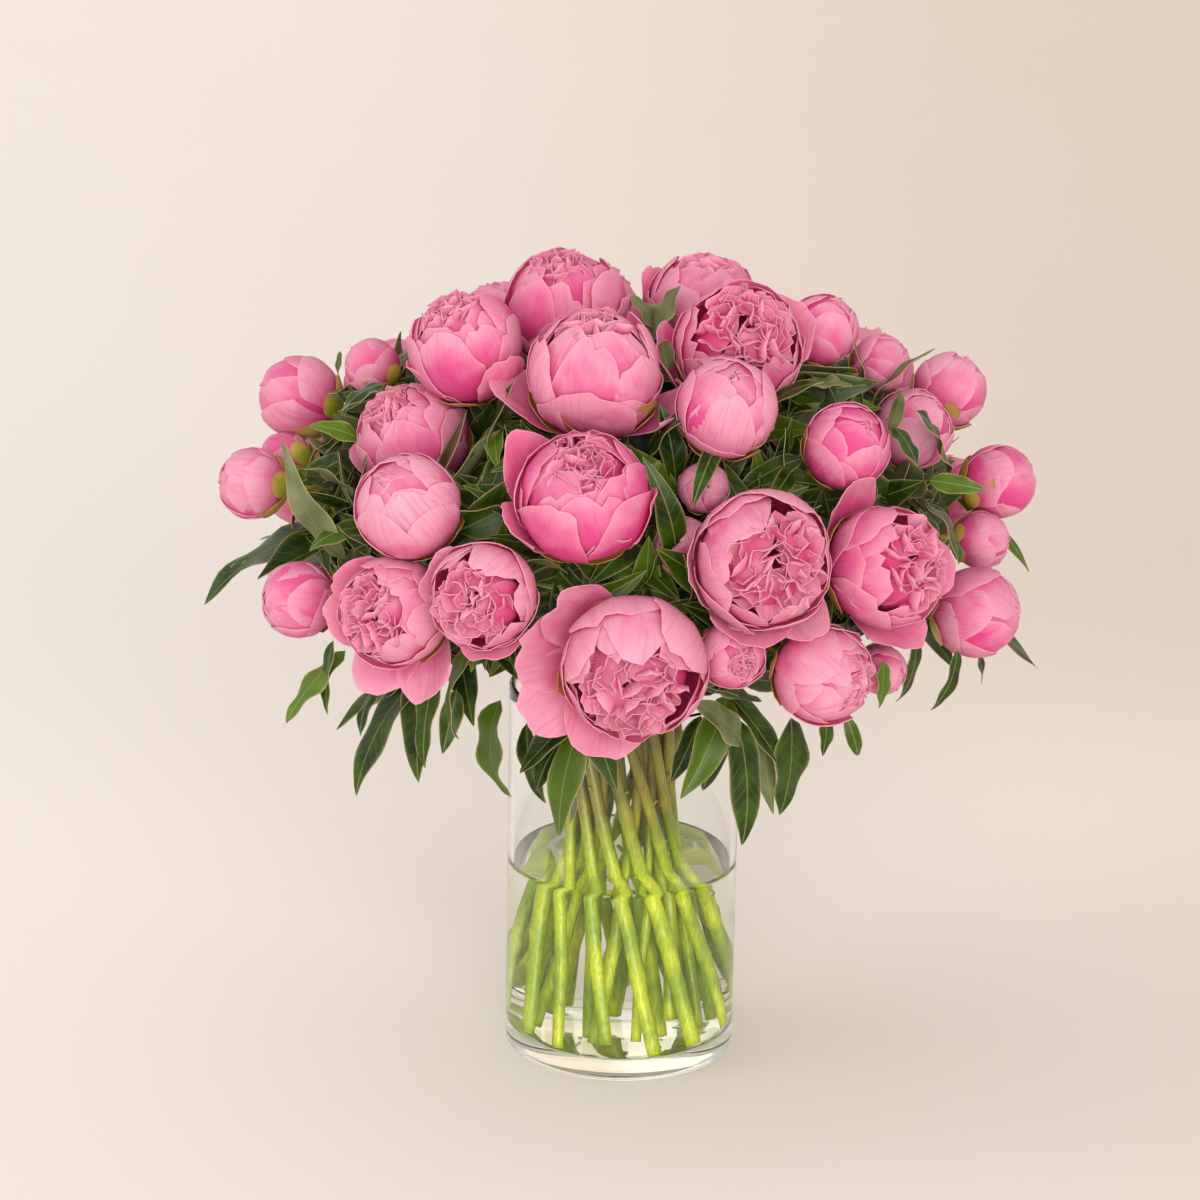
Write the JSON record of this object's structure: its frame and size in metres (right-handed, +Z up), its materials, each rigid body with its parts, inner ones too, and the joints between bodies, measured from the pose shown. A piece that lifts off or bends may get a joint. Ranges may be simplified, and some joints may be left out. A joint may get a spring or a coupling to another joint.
{
  "type": "vase of peonies",
  "caption": "Rounded bouquet of cut double peonies and buds with dark green leaves, standing in a clear glass cylinder vase half full of water.",
  "frame": {"origin": "middle of the vase's flat underside, on the surface that it stands on", "axes": "+Z up along the vase's axis, -Y the front, +X to the right as seen from the front"},
  "size_m": [0.5568, 0.5224, 0.5459],
  "materials": {
    "clear_glass": "clear polished soda glass",
    "water": null,
    "petal_pink": "soft matt petals, paler at the edges, deeper pink in the folds",
    "stem_green": "fresh olive green stem, lighter yellow green under water",
    "leaf_green": "dark glossy green with a paler midrib"
  },
  "bodies": {
    "root": {"glass_vase": "clear_glass", "water": "water", "stem_inner_left": "stem_green", "stem_inner_front": "stem_green", "stem_inner_right": "stem_green", "stem_inner_rear_right": "stem_green", "stem_inner_rear": "stem_green", "stem_front": "stem_green", "stem_front_right": "stem_green", "stem_right": "stem_green", "stem_shoulder_right": "stem_green", "stem_far_right": "stem_green", "stem_rear_right": "stem_green", "stem_rear": "stem_green", "stem_rear_low": "stem_green", "stem_rear_left": "stem_green", "stem_far_left": "stem_green", "stem_left": "stem_green", "stem_left_low": "stem_green", "stem_centre": "stem_green", "bloom_top_left": "petal_pink", "bloom_upper_left": "petal_pink", "bloom_upper_front": "petal_pink", "bud_upper_front": "petal_pink", "bloom_upper_right": "petal_pink", "bud_right_high": "petal_pink", "bloom_top_right": "petal_pink", "bloom_rear_top_right": "petal_pink", "bloom_rear_top": "petal_pink", "bloom_rear_top_left": "petal_pink", "bloom_front": "petal_pink", "bloom_front_right": "petal_pink", "bloom_low_right": "petal_pink", "bloom_right": "petal_pink", "bud_low_right": "petal_pink", "bud_shoulder_right": "petal_pink", "bud_inner_right": "petal_pink", "bud_far_right_high": "petal_pink", "bud_far_right": "petal_pink", "bloom_rear_right": "petal_pink", "bud_rear_right_low": "petal_pink", "bloom_rear": "petal_pink", "bloom_rear_low_right": "petal_pink", "bloom_rear_low_left": "petal_pink", "bloom_rear_left": "petal_pink", "bud_rear_left_low": "petal_pink", "bud_far_left_high": "petal_pink", "bud_far_left": "petal_pink", "bloom_left": "petal_pink", "bud_left_globe": "petal_pink", "bloom_left_low": "petal_pink", "bud_low_left": "petal_pink", "bloom_centre": "petal_pink", "bloom_left_front": "petal_pink", "leaf_far_left": "leaf_green", "leaf_low_left": "leaf_green", "leaf_hanging_left": "leaf_green", "leaf_hanging_right": "leaf_green", "leaf_far_right": "leaf_green", "leaf_rear": "leaf_green"}
  },
  "joints": []
}
